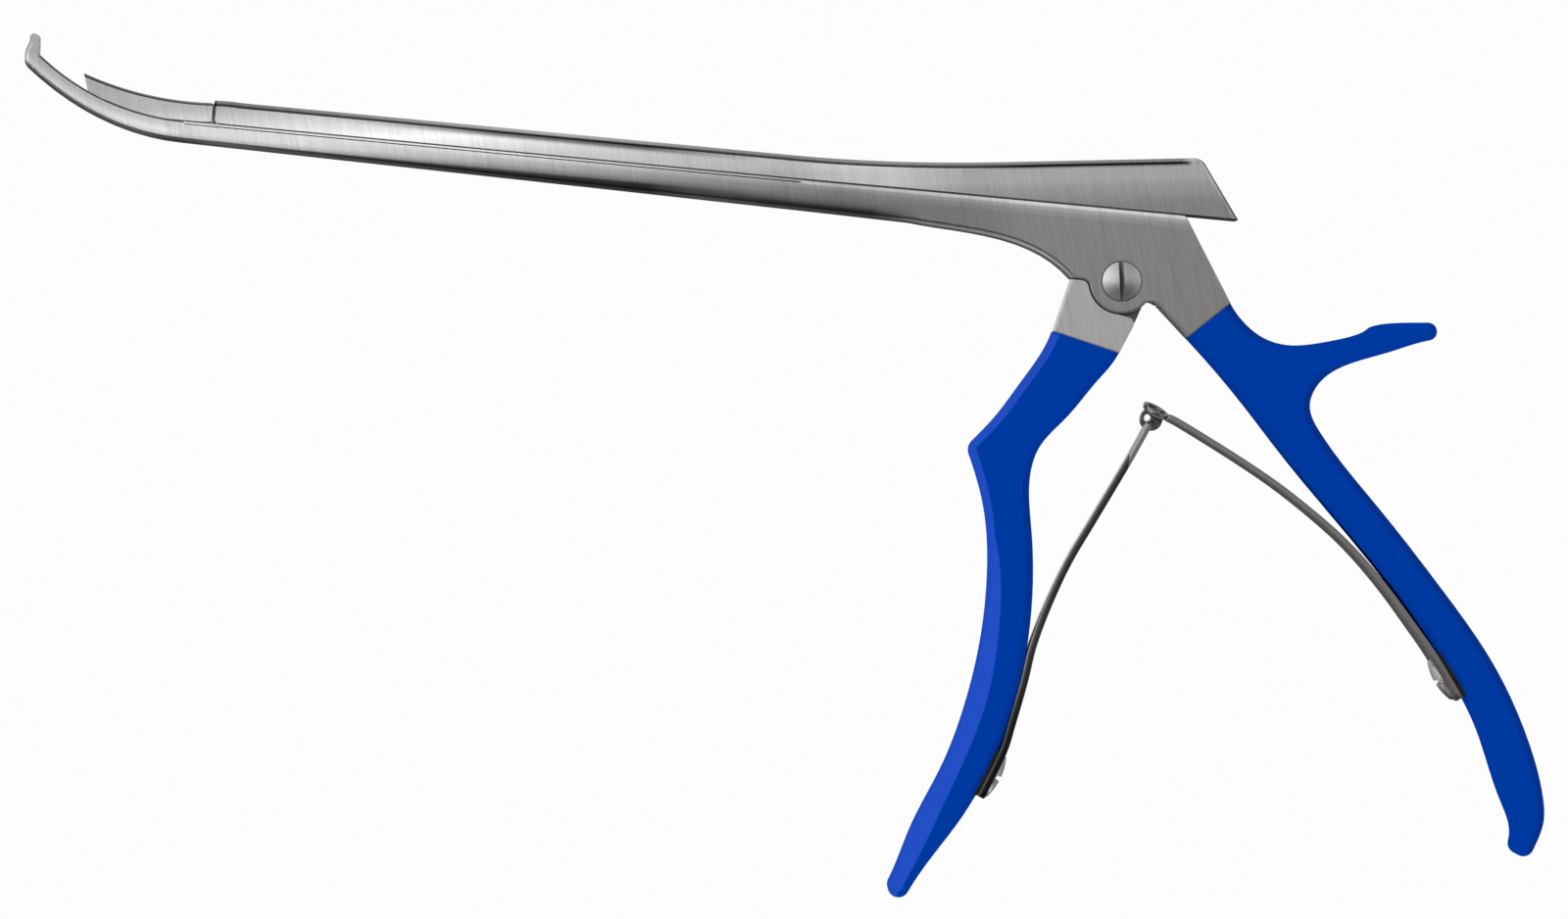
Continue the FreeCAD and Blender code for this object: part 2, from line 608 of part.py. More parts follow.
def make_frame(rear_leaf_band):
    """Lower shaft, foot, slotted head and the core of the rear handle, one forging."""
    body = slab(shaft_face(), HEAD_WIDTH * 3).common(plan_envelope())

    def barrel(middle):
        return middle.z < PLANE_HEIGHT - 2 and BEND_START < middle.x < -SHAFT_REAR

    def head(middle):
        under_coat = lies_on(middle, COAT_TOP_OUTER, COAT_TOP_INNER)
        return middle.z < PLANE_HEIGHT - 0.5 and middle.x > -SHAFT_REAR and not under_coat

    body = body.makeFillet(BARREL_ROUND, long_edges(body, barrel))
    body = body.makeFillet(HEAD_ROUND, long_edges(body, head))
    core = grip_core(rear_grip_face())
    seat = leaf_seat(REAR_ROOT, REAR_ROOT_TURN, -1, rear_leaf_band)
    body = body.fuse([core, seat]).removeSplitter()
    slot_width = WEB_WIDTH + 2 * WEB_GAP
    tang_slot = box(-LOBE_RADIUS - SHOULDER_ROUND, LOBE_RADIUS + 1.0, slot_width, -LOBE_RADIUS - 4,
                    PLANE_HEIGHT + 1)
    cuts = [t_slot(), bright_rail(1), bright_rail(-1), tang_slot,
            cross_pin(0, 0, PIVOT_DIAMETER, HEAD_WIDTH + 2),
            cross_pin(*CROTCH_ARCH, CROTCH_ARCH_DIAMETER, HEAD_WIDTH + 2),
            leaf_hole(REAR_ROOT, REAR_ROOT_TURN, -1)]
    return body.cut(cuts)


def slide_face():
    """Side outline of the slide, with its crown over the hook and its rise to the head."""
    low = PLANE_HEIGHT + RUNNING_GAP
    barrel_top = PLANE_HEIGHT + SLIDE_HEIGHT
    rise = math.radians(SLIDE_RISE_ANGLE)
    rear_top = at(SLIDE_TOP_REAR, PLANE_HEIGHT + SLIDE_HEIGHT_REAR)
    arc_length = SLIDE_RISE_RADIUS * math.sin(rise)
    arc_rise = SLIDE_RISE_RADIUS * (1 - math.cos(rise))
    straight = (rear_top.z - barrel_top - arc_rise) / math.tan(rise)
    rise_start = rear_top.x - straight - arc_length
    half_rise = rise / 2
    rise_middle = at(rise_start + SLIDE_RISE_RADIUS * math.sin(half_rise),
                     barrel_top + SLIDE_RISE_RADIUS * (1 - math.cos(half_rise)))
    rise_end = at(rise_start + arc_length, barrel_top + arc_rise)
    rear_low = at(SLIDE_BOTTOM_REAR, low)
    front = -SLIDE_REACH
    crown = [at(HOOK_X + KNUCKLE_REACH, barrel_top), at(HOOK_X, barrel_top + KNUCKLE_RISE),
             at(HOOK_X - KNUCKLE_REACH, barrel_top)]
    corner = SLIDE_FRONT_CORNER
    corner_middle = at(front + corner * (1 - math.sqrt(0.5)), low + corner * (1 - math.sqrt(0.5)))
    return side_face(
        line(at(front + corner, low), rear_low),
        line(rear_low, rear_top),
        line(rear_top, rise_end),
        arc(rise_end, rise_middle, at(rise_start, barrel_top)),
        line(at(rise_start, barrel_top), crown[0]),
        arc(*crown),
        line(crown[2], at(front, barrel_top)),
        line(at(front, barrel_top), at(front, low + corner)),
        arc(at(front, low + corner), corner_middle, at(front + corner, low)),
    )


def make_slide():
    """The straight upper bar, with its tongue, the trigger's notch and the hook's pocket."""
    body = slab(slide_face(), HEAD_WIDTH * 3).common(plan_envelope())
    rear_corner = [edge for edge in body.Edges
                   if abs(edge.BoundBox.XMin - SLIDE_TOP_REAR) < 0.01 and edge.BoundBox.YLength > 6]
    body = body.makeFillet(SLIDE_CORNER, rear_corner)

    def top(middle):
        return middle.z > PLANE_HEIGHT + SLIDE_HEIGHT - 0.1 and middle.x < SLIDE_TOP_REAR + 2

    body = body.makeFillet(SLIDE_CROWN_ROUND, long_edges(body, top))
    neck_low = PLANE_HEIGHT - NECK_DEPTH + RUNNING_GAP
    tongue_low = PLANE_HEIGHT - NECK_DEPTH - TONGUE_DEPTH + RUNNING_GAP
    tongue_front = BEND_START + SLIDE_TRAVEL + TONGUE_END_GAP
    tongue_rear = -SLOT_END - TONGUE_END_GAP
    neck = box(tongue_front, tongue_rear, NECK_WIDTH - 2 * RUNNING_GAP, tongue_low, PLANE_HEIGHT + 0.5)
    wide = box(tongue_front, tongue_rear, TONGUE_WIDTH - 2 * RUNNING_GAP, tongue_low,
               neck_low - 2 * RUNNING_GAP)
    body = body.fuse([neck, wide])
    bend_reached = BEND_START + SLIDE_TRAVEL
    relief = box(-SLIDE_REACH - 1, bend_reached, BARREL_WIDTH + 2, PLANE_HEIGHT - 1, PLANE_HEIGHT + 2)
    relief = relief.cut(cross_pin(bend_reached, BEND_CENTRE_HEIGHT, 2 * (BEND_RADIUS - RUNNING_GAP),
                                  BARREL_WIDTH + 4))
    return body.cut([relief, hook_pocket(), drive_notch()]).removeSplitter()


def hook_pocket():
    """Pocket in the slide's front end, open below, that the cutter's hook drops into."""
    hook_top = HOOK_Z + HOOK_DIAMETER / 2 + RUNNING_GAP
    neck_top = HOOK_Z + HOOK_NECK / 2 + HOOK_SIDE_GAP
    half = HOOK_DIAMETER / 2 + RUNNING_GAP
    pocket = box(HOOK_X - half, HOOK_X + half, HOOK_LENGTH + 2 * HOOK_SIDE_GAP, PLANE_HEIGHT - 1, hook_top)
    throat = box(-SLIDE_REACH - 1, HOOK_X, HOOK_NECK + 2 * HOOK_SIDE_GAP, PLANE_HEIGHT - 1, neck_top)
    return pocket.fuse(throat)


def drive_notch():
    """Notch in the slide's underside for the trigger's round drive end, flared below."""
    centre = ARM_LENGTH * math.sin(math.radians(ARM_SWING))
    half = DRIVE_DIAMETER / 2 + DRIVE_GAP
    flare = half + DRIVE_FLARE
    wall_low = ARM_LENGTH * math.cos(math.radians(ARM_SWING)) - DRIVE_DIAMETER / 4
    top = ARM_LENGTH + DRIVE_DIAMETER / 2 + 2 * DRIVE_GAP
    face = polygon_face((centre - flare, PLANE_HEIGHT - 1), (centre + flare, PLANE_HEIGHT - 1),
                        (centre + half, wall_low), (centre + half, top), (centre - half, top),
                        (centre - half, wall_low))
    return slab(face, WEB_WIDTH + 2 * WEB_GAP)


def make_cutter():
    """The curved cutter: it follows the bend and hooks into the slide's front end."""
    radius = BEND_RADIUS - RUNNING_GAP
    rear_x = -SLIDE_REACH - END_GAP
    rear_turn = -math.degrees(math.asin((rear_x - BEND_START) / radius))
    front_turn = TIP_ANGLE - CUTTER_TURN - math.degrees(JAW_LAND / BEND_RADIUS)
    lean = math.radians(FOOT_LEAN + CUTTER_TURN)
    front_low = on_bend(front_turn, radius)
    front_top = front_low + at(-math.sin(lean), math.cos(lean)) * CUTTER_HEIGHT_FRONT
    rear_top = at(rear_x, PLANE_HEIGHT + CUTTER_HEIGHT_REAR)
    face = side_face(
        arc(on_bend(rear_turn, radius), on_bend((rear_turn + front_turn) / 2, radius), front_low),
        line(front_low, front_top),
        arc(front_top, on_bend(CUTTER_MIDDLE_TURN, BEND_RADIUS - CUTTER_HEIGHT_MIDDLE), rear_top),
        line(rear_top, on_bend(rear_turn, radius)),
    )
    shut = turned_on_bend(slab(face, BARREL_WIDTH * 2), CUTTER_TURN).common(plan_envelope())
    body = turned_on_bend(shut, -CUTTER_TURN)
    rear_edge = [edge for edge in body.Edges
                 if edge.BoundBox.XLength < 0.01 and edge.BoundBox.YLength > 3
                 and edge.BoundBox.ZMin > PLANE_HEIGHT + 2]

    def top(middle):
        reach = math.hypot(middle.x - BEND_START, middle.z - BEND_CENTRE_HEIGHT)
        return reach < radius - 1.6 and middle.x > front_low.x + 0.5

    body = body.makeFillet(CUTTER_EDGE_ROUND, rear_edge + long_edges(body, top))
    tongue_end = TONGUE_START_TURN + CUTTER_TONGUE_TURN
    tongue_inner = BEND_RADIUS + NECK_DEPTH + RUNNING_GAP
    tongue_outer = BEND_RADIUS + NECK_DEPTH + TONGUE_DEPTH - RUNNING_GAP
    neck = bend_block(BEND_RADIUS - NECK_DEPTH, tongue_outer, TONGUE_START_TURN, tongue_end,
                      NECK_WIDTH - 2 * RUNNING_GAP)
    wide = bend_block(tongue_inner, tongue_outer, TONGUE_START_TURN, tongue_end,
                      TONGUE_WIDTH - 2 * RUNNING_GAP)
    hook = cross_pin(HOOK_X, HOOK_Z, HOOK_DIAMETER, HOOK_LENGTH)
    hook_neck = box(rear_x - 0.5, HOOK_X, HOOK_NECK, PLANE_HEIGHT + RUNNING_GAP, HOOK_Z + HOOK_NECK / 2)
    cup_start = on_bend(front_turn, radius) + at(-math.sin(lean), math.cos(lean)) * (CUTTER_HEIGHT_FRONT / 2)
    inward = at(math.cos(lean), math.sin(lean))
    cup = Part.makeCylinder(CUP_DIAMETER / 2, CUP_DEPTH + 1, cup_start - inward, inward)
    return body.fuse([neck, wide, hook, hook_neck]).cut(cup).removeSplitter()


def make_trigger(front_leaf_band):
    """Trigger: tang with a round drive end, shouldered cheek and the front handle's core."""
    around = LOBE_RADIUS + SHOULDER_GAP
    top = SHOULDER_TOP - SHOULDER_GAP
    front_top = (-SHOULDER_REACH, top)
    shoulder = shoulder_round(SHOULDER_GAP)
    cheek = slab(side_face(
        line(at(*front_top), shoulder[2]),
        arc(shoulder[2], shoulder[1], shoulder[0]),
        arc(shoulder[0], round_pivot(225, around), at(0, -around)),
        line(at(0, -around), at(*CHEEK_CORNER)),
        line(at(*CHEEK_CORNER), at(*COAT_TOP_BACK)),
        line(at(*COAT_TOP_BACK), at(*COAT_TOP_FRONT)),
        line(at(*COAT_TOP_FRONT), at(*front_top)),
    ), HEAD_WIDTH)
    rear_corner = [edge for edge in cheek.Edges
                   if edge.BoundBox.YLength > HEAD_WIDTH - 0.1
                   and lies_on(edge.Vertexes[0].Point, CHEEK_CORNER, CHEEK_CORNER)]
    cheek = cheek.makeFillet(CHEEK_CORNER_ROUND, rear_corner)

    def outer(middle):
        return lies_on(middle, COAT_TOP_FRONT, front_top)

    cheek = cheek.makeFillet(CHEEK_EDGE_ROUND, long_edges(cheek, outer))
    swing = math.radians(ARM_SWING)
    along = at(math.sin(swing), math.cos(swing))
    across = at(along.z, -along.x) * (ARM_WIDTH / 2)
    drive = along * ARM_LENGTH
    arm = Part.Face(Part.makePolygon([across * -1, drive - across, drive + across, across, across * -1]))
    wedge = polygon_face((-SHOULDER_REACH + 0.5, top), (-LOBE_RADIUS + 1, top), TANG_CORNER, CHEEK_CORNER,
                         COAT_TOP_BACK, COAT_TOP_FRONT)
    web = slab(arm, WEB_WIDTH).fuse([
        slab(wedge, WEB_WIDTH),
        cross_pin(0, 0, 2 * LOBE_RADIUS - 0.6, WEB_WIDTH),
        cross_pin(drive.x, drive.z, DRIVE_DIAMETER, WEB_WIDTH),
    ])
    core = grip_core(front_grip_face())
    seat = leaf_seat(FRONT_ROOT, FRONT_ROOT_TURN, 1, front_leaf_band)
    body = cheek.fuse([web, core, seat]).removeSplitter()
    return body.cut([cross_pin(0, 0, PIVOT_DIAMETER + 2 * HOLE_GAP, HEAD_WIDTH + 2),
                     leaf_hole(FRONT_ROOT, FRONT_ROOT_TURN, 1)])


def make_pivot_screw():
    """Slotted screw through the head's cheeks; the trigger turns on its plain middle."""
    side = FreeCAD.Vector(0, -1, 0)
    face = at(0, 0, -HEAD_WIDTH / 2)
    head = domed_head(face, side, SCREW_HEAD_DIAMETER, SCREW_HEAD_HEIGHT, 8)
    return head.fuse(cross_pin(0, 0, PIVOT_DIAMETER, HEAD_WIDTH))


def front_leaf_face():
    before_ball = (4.1, -29.3)
    points = [(-11.15, -74.7), (-9.75, -67.3), (-8.9, -61.5), (-7.1, -54.8), (-4.4, -47.2), (-0.8, -39.6),
              before_ball, BALL_PLACE]
    return leaf_band(FRONT_ROOT, FRONT_ROOT_TURN, heading(before_ball, BALL_PLACE), points)


def rear_leaf_face():
    eye = eye_place()
    points = [(53.7, -52.7), (48.4, -46.7), (43.0, -41.4), (37.8, -37.2), (29.9, -31.9), (22.2, -27.6),
              (12.4, -22.7), (eye.x, eye.z)]
    return leaf_band(REAR_ROOT, REAR_ROOT_TURN, EYE_TURN, points)


def eye_place():
    """Centre of the eye: it rests on the ball where the ball fills its hole."""
    lift = math.sqrt((BALL_DIAMETER / 2) ** 2 - (EYE_HOLE / 2) ** 2) + LEAF_THICKNESS / 2 + RUNNING_GAP
    return at(*BALL_PLACE) + eye_normal() * lift


def eye_normal():
    """The eye's axis, away from the ball: square to the leaf, then twisted about it."""
    twist = math.radians(EYE_TILT)
    return round_pivot(EYE_TURN - 90, math.cos(twist)) - FreeCAD.Vector(0, math.sin(twist), 0)


def make_front_leaf():
    """Front leaf spring, from its screwed root to the neck of the ball."""
    leaf = slab(front_leaf_face(), HEAD_WIDTH * 2)
    taper = leaf_taper(FRONT_ROOT, BALL_PLACE, LEAF_WIDTH_ROOT, LEAF_WIDTH_TIP, 40)
    ball = Part.makeSphere(BALL_DIAMETER / 2, at(*BALL_PLACE))
    return leaf.common(taper).cut([ball, leaf_hole(FRONT_ROOT, FRONT_ROOT_TURN, 1)])


def make_rear_leaf():
    """Rear leaf spring, from its screwed root to the eye that rests on the ball."""
    leaf = slab(rear_leaf_face(), HEAD_WIDTH * 2)
    taper = leaf_taper(REAR_ROOT, BALL_PLACE, LEAF_WIDTH_ROOT, LEAF_WIDTH_TIP, 40)
    eye = eye_place()
    up = eye_normal()
    ring = Part.makeCylinder(EYE_DIAMETER / 2, LEAF_THICKNESS, eye - up * (LEAF_THICKNESS / 2), up)
    hole = Part.makeCylinder(EYE_HOLE / 2, LEAF_THICKNESS * 3, eye - up * (LEAF_THICKNESS * 1.5), up)
    ball = Part.makeSphere(BALL_DIAMETER / 2 + RUNNING_GAP, at(*BALL_PLACE))
    leaf = leaf.common(taper).fuse(ring)
    return leaf.cut([hole, ball, leaf_hole(REAR_ROOT, REAR_ROOT_TURN, -1)])


def build():
    """All pieces about the pivot, each under its own name."""
    front_band = slab(front_leaf_face(), HEAD_WIDTH * 2)
    rear_band = slab(rear_leaf_face(), HEAD_WIDTH * 2)
    pieces = {
        "frame": make_frame(rear_band),
        "slide": make_slide(),
        "cutter": make_cutter(),
        "trigger": make_trigger(front_band),
        "pivot_screw": make_pivot_screw(),
        "front_leaf_spring": make_front_leaf(),
        "spring_ball": Part.makeSphere(BALL_DIAMETER / 2, at(*BALL_PLACE)),
        "rear_leaf_spring": make_rear_leaf(),
        "front_spring_screw": leaf_screw(FRONT_ROOT, FRONT_ROOT_TURN, 1, 0),
        "rear_spring_screw": leaf_screw(REAR_ROOT, REAR_ROOT_TURN, -1, 0),
    }
    pieces["rear_grip"] = grip_shell(rear_grip_face(), pieces["frame"], COAT_TOP_OUTER, COAT_TOP_INNER,
                                     ((6, -6), (16, 6)))
    pieces["rear_grip"] = pieces["rear_grip"].cut([rear_band, leaf_hole(REAR_ROOT, REAR_ROOT_TURN, -1)])
    pieces["front_grip"] = grip_shell(front_grip_face(), pieces["trigger"], COAT_TOP_BACK, COAT_TOP_FRONT,
                                      ((-13, 0), (6, 0)))
    pieces["front_grip"] = pieces["front_grip"].cut([front_band, leaf_hole(FRONT_ROOT, FRONT_ROOT_TURN, 1),
                                                     front_facet(1), front_facet(-1)])
    return pieces


def stand_up(pieces):
    """Turn the instrument until both handle ends stand on the ground, centred on the origin."""
    turn = math.degrees(math.atan2(REAR_NOSE[1] - FRONT_NOSE[1], REAR_NOSE[0] - FRONT_NOSE[0]))
    whole = FreeCAD.BoundBox()
    for shape in pieces.values():
        shape.rotate(FreeCAD.Vector(0, 0, 0), FreeCAD.Vector(0, 1, 0), turn)
        whole.add(shape.optimalBoundingBox(False, False))
    shift = FreeCAD.Vector(-(whole.XMin + whole.XMax) / 2, -(whole.YMin + whole.YMax) / 2, -whole.ZMin)
    for shape in pieces.values():
        shape.translate(shift)
    return turn, shift


parts = build()
stand_turn, stand_shift = stand_up(parts)
for name, shape in parts.items():
    print(name, "valid" if shape.isValid() else "INVALID", len(shape.Solids), round(shape.Volume, 2))
    shape.exportStep("parts/" + name + ".step")
print("stand", round(stand_turn, 4), [round(value, 4) for value in stand_shift])
print("turns", round(CUTTER_TURN, 4), round(2 * ARM_SWING, 4))
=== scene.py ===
import bpy
import json
import math
from collections import namedtuple
from mathutils import Matrix, Vector
from mathutils.geometry import interpolate_bezier


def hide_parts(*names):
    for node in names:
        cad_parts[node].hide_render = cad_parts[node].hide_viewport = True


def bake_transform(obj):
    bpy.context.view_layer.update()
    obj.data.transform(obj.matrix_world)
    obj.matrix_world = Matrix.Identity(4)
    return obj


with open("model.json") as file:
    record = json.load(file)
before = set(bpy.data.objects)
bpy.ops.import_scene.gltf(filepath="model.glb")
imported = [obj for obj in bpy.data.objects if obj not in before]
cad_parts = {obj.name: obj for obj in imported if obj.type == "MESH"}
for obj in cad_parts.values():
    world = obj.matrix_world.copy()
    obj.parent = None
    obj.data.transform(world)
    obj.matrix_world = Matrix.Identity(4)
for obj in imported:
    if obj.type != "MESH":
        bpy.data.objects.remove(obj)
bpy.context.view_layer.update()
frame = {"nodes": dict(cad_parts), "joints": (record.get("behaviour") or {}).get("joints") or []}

# Where things are
# The instrument stands on its two handle ends. Its places are counted from the pivot, x mm back
# along the shaft and z mm above it, as the real piece is drawn.
MM = 0.001
joints = {joint["name"]: joint for joint in frame["joints"]}
pivot = Vector(joints["trigger_pivot"]["pos_m"])
shaft_back = -Vector(joints["slide_travel"]["axis"])
shaft_up = Vector((-shaft_back.z, 0, shaft_back.x))
shaft_turn = math.atan2(-shaft_back.z, shaft_back.x)
rearward = Vector((1, 0, 0))


def place(x, z, y=0.0):
    """A point x behind, z above and y across from the pivot, in mm."""
    return pivot + (shaft_back * x + shaft_up * z + Vector((0, y, 0))) * MM


# Camera
# The photograph was taken square to the flat side of the instrument, from about a metre away,
# with the shaft falling a few degrees to the right.
CAMERA_REACH = 0.904
PHOTO_SLOPE = math.radians(5.4)
PHOTO_CENTRE = (-52.8, -34.6)
camera_place = place(*PHOTO_CENTRE) - Vector((0, CAMERA_REACH, 0))
bpy.ops.object.camera_add(location=camera_place)
camera = bpy.context.object
camera.name = "camera"
camera.data.sensor_width = 36
camera.data.lens = 125
camera.data.clip_start = 0.01
camera.data.clip_end = 20
level_view = Matrix.Rotation(math.radians(90), 4, "X")
roll = Matrix.Rotation(shaft_turn - PHOTO_SLOPE, 4, "Y")
camera.matrix_world = Matrix.Translation(camera_place) @ roll @ level_view
bpy.context.scene.camera = camera
bpy.context.scene.view_settings.view_transform = "Standard"

# Studio
# A white ground and backdrop with no shadows. The steel mirrors a wide soft light on the left, a
# dimmer one overhead, a faint one off each end and a floor that is dark but right underneath. The
# ground lies lower than the handle ends, because the front one swings down in closing.
WHITE = (0.98, 0.98, 0.98, 1)
GROUND_SIZE = 8
GROUND_DROP = 0.02


def add_node(tree, kind, **values):
    """A new node, with its properties and the constant values of its inputs set."""
    node = tree.nodes.new(kind)
    for name, value in values.items():
        if hasattr(node, name):
            setattr(node, name, value)
        else:
            node.inputs[name.replace("_", " ")].default_value = value
    return node


def add_grade(tree, vector, measure, reference, stops):
    """Shade that follows stops of (place, level), measured along an axis or from a centre."""
    low = stops[0][0]
    high = stops[-1][0]
    measured = add_node(tree, "ShaderNodeVectorMath", operation=measure)
    measured.inputs[1].default_value = reference
    spread = add_node(tree, "ShaderNodeMapRange", From_Min=low, From_Max=high)
    ramp = add_node(tree, "ShaderNodeValToRGB")
    elements = ramp.color_ramp.elements
    elements.remove(elements[-1])
    for index, (where, level) in enumerate(stops):
        position = (where - low) / (high - low)
        element = elements[0] if index == 0 else elements.new(position)
        element.position = position
        element.color = (*level, 1) if isinstance(level, tuple) else (level, level, level, 1)
    tree.links.new(vector, measured.inputs[0])
    tree.links.new(measured.outputs["Value"], spread.inputs["Value"])
    tree.links.new(spread.outputs["Result"], ramp.inputs["Fac"])
    return ramp.outputs["Color"]


def combine(tree, operation, first, second):
    """Two shades added or multiplied."""
    both = add_node(tree, "ShaderNodeVectorMath", operation=operation)
    tree.links.new(first, both.inputs[0])
    tree.links.new(second, both.inputs[1])
    return both.outputs["Vector"]


def show_outside(tree, seen, mirrored, output):
    """Shows one shader to the camera and to matte surfaces, and the other in the steel."""
    light_path = add_node(tree, "ShaderNodeLightPath")
    choose = add_node(tree, "ShaderNodeMixShader")
    outside = add_node(tree, "ShaderNodeMath", operation="SUBTRACT")
    outside.inputs[0].default_value = 1
    tree.links.new(light_path.outputs["Is Glossy Ray"], outside.inputs[1])
    tree.links.new(outside.outputs["Value"], choose.inputs["Fac"])
    tree.links.new(mirrored.outputs[0], choose.inputs[1])
    tree.links.new(seen.outputs[0], choose.inputs[2])
    tree.links.new(choose.outputs["Shader"], output.inputs["Surface"])


world = bpy.data.worlds.new("studio")
bpy.context.scene.world = world
world.use_nodes = True
tree = world.node_tree
tree.nodes.clear()
direction = add_node(tree, "ShaderNodeTexCoord").outputs["Generated"]
by_height = add_grade(tree, direction, "DOT_PRODUCT", (0, 0, 1), [
    (-1, 1.0), (-0.8, 0.7), (-0.55, 0.05), (-0.03, 0.05), (0, 1.5), (0.1, 1.6), (0.35, 1.1),
    (0.6, 0.8), (0.8, 1.1), (1, 1.5)])
by_side = add_grade(tree, direction, "DOT_PRODUCT", rearward, [
    (-1, 0.5), (-0.8, 0.8), (-0.5, 1.9), (-0.2, 1.4), (0, 1.0), (0.15, 0.7), (0.5, 0.45), (1, 0.4)])
at_ends = add_grade(tree, direction, "DOT_PRODUCT", rearward, [
    (-1, 0.7), (-0.6, 0.7), (-0.45, 0), (0.45, 0), (0.6, 0.7), (1, 0.7)])
all_light = combine(tree, "ADD", combine(tree, "MULTIPLY", by_height, by_side), at_ends)
mirrored = add_node(tree, "ShaderNodeBackground")
tree.links.new(all_light, mirrored.inputs["Color"])
show_outside(tree, add_node(tree, "ShaderNodeBackground", Color=WHITE), mirrored,
             add_node(tree, "ShaderNodeOutputWorld"))

bpy.ops.mesh.primitive_plane_add(size=GROUND_SIZE, location=(0, 0, -GROUND_DROP))
ground = bpy.context.object
ground.name = "ground"
ground_look = bpy.data.materials.new("white_ground")
ground_look.use_nodes = True
tree = ground_look.node_tree
tree.nodes.clear()
show_outside(tree, add_node(tree, "ShaderNodeEmission", Color=WHITE),
             add_node(tree, "ShaderNodeBsdfTransparent"), add_node(tree, "ShaderNodeOutputMaterial"))
ground.data.materials.append(ground_look)

# Frame
# One forging of satin stainless steel: the shaft's lower bar, its bend up to the foot, the head
# and the core of the rear handle. It is brushed across the shaft in fine strokes, and a fine
# double line of painted shade runs along the bar's top edge, under the slide.
STROKE_WIDTH = 0.28
STROKE_LENGTH = 8
STROKE_LEAN = math.radians(17)
SATIN_ROUGHNESS = 0.34
SATIN_DEPTH = 0.005
SATIN_SHADE = 0.12
SATIN_COLOUR = (0.31, 0.305, 0.3)
LINE_SHADE = 0.15
SLIDING_PLANE = 11.9
BEND_START = -157.1
BEND_RADIUS = 40.0
BEND_CENTRE = (BEND_START, SLIDING_PLANE + BEND_RADIUS)
LINES_END = -54.5
UNDERSIDE_SLOPE = 0.0153
REAR_HANDLE_DOWN = (0.696, -0.718)
REAR_END_FACES = (0.81, 0.59)
rear_end = shaft_back * REAR_END_FACES[0] + shaft_up * REAR_END_FACES[1]

# what a grade reads, how and from where it is measured, its stops, and the stretch it works over
Grade = namedtuple("Grade", "source measure reference stops stretch")


def along(across, back, up, stops, stretch=None):
    """Grade along any direction from the pivot, in mm, over a stretch of the shaft or all of it."""
    axis = (Vector((0, across, 0)) + shaft_back * back + shaft_up * up) / MM
    moved = [(reach + pivot.dot(axis), level) for reach, level in stops]
    return Grade("place", "DOT_PRODUCT", axis, moved, stretch)


def along_shaft(stops):
    """Grade by the place along the shaft, in mm behind the pivot."""
    return along(0, 1, 0, stops)


def above_pivot(stops, stretch=None):
    """Grade by the height over the pivot, in mm square to the shaft."""
    return along(0, 0, 1, stops, stretch)


def around(centre, stops, stretch=None):
    """Grade by the distance in mm from a centre, seen from the side."""
    seen_centre = place(*centre) * Vector((1, 0, 1))
    return Grade("side_place", "DISTANCE", seen_centre, [(reach * MM, level) for reach, level in stops],
                 stretch)


def facing(axis, stops, stretch=None):
    """Grade by how far the surface faces along an axis, from -1 for away to 1 for straight along."""
    return Grade("direction", "DOT_PRODUCT", axis.normalized(), stops, stretch)


def weigh(tree, shade, strength):
    """Lets a shade work as far as its strength goes, and leaves 1 where that is 0."""
    excess = add_node(tree, "ShaderNodeVectorMath", operation="SUBTRACT")
    excess.inputs[1].default_value = (1, 1, 1)
    weighed = add_node(tree, "ShaderNodeVectorMath", operation="MULTIPLY_ADD")
    weighed.inputs[2].default_value = (1, 1, 1)
    tree.links.new(shade, excess.inputs[0])
    tree.links.new(excess.outputs["Vector"], weighed.inputs[0])
    tree.links.new(strength, weighed.inputs[1])
    return weighed.outputs["Vector"]


def add_strokes(tree, where):
    """Brush strokes: noise drawn out long and narrow, a little off square to the shaft."""
    turned = add_node(tree, "ShaderNodeMapping", vector_type="POINT")
    turned.inputs["Rotation"].default_value = (0, -shaft_turn + STROKE_LEAN, 0)
    stretched = add_node(tree, "ShaderNodeMapping", vector_type="POINT")
    stretched.inputs["Scale"].default_value = [1 / (size * MM) for size in (
        STROKE_WIDTH, STROKE_LENGTH, STROKE_LENGTH)]
    strokes = add_node(tree, "ShaderNodeTexNoise", Scale=1.0, Detail=4.0, Roughness=0.65)
    tree.links.new(where, turned.inputs["Vector"])
    tree.links.new(turned.outputs["Vector"], stretched.inputs["Vector"])
    tree.links.new(stretched.outputs["Vector"], strokes.inputs["Vector"])
    return strokes.outputs["Fac"]


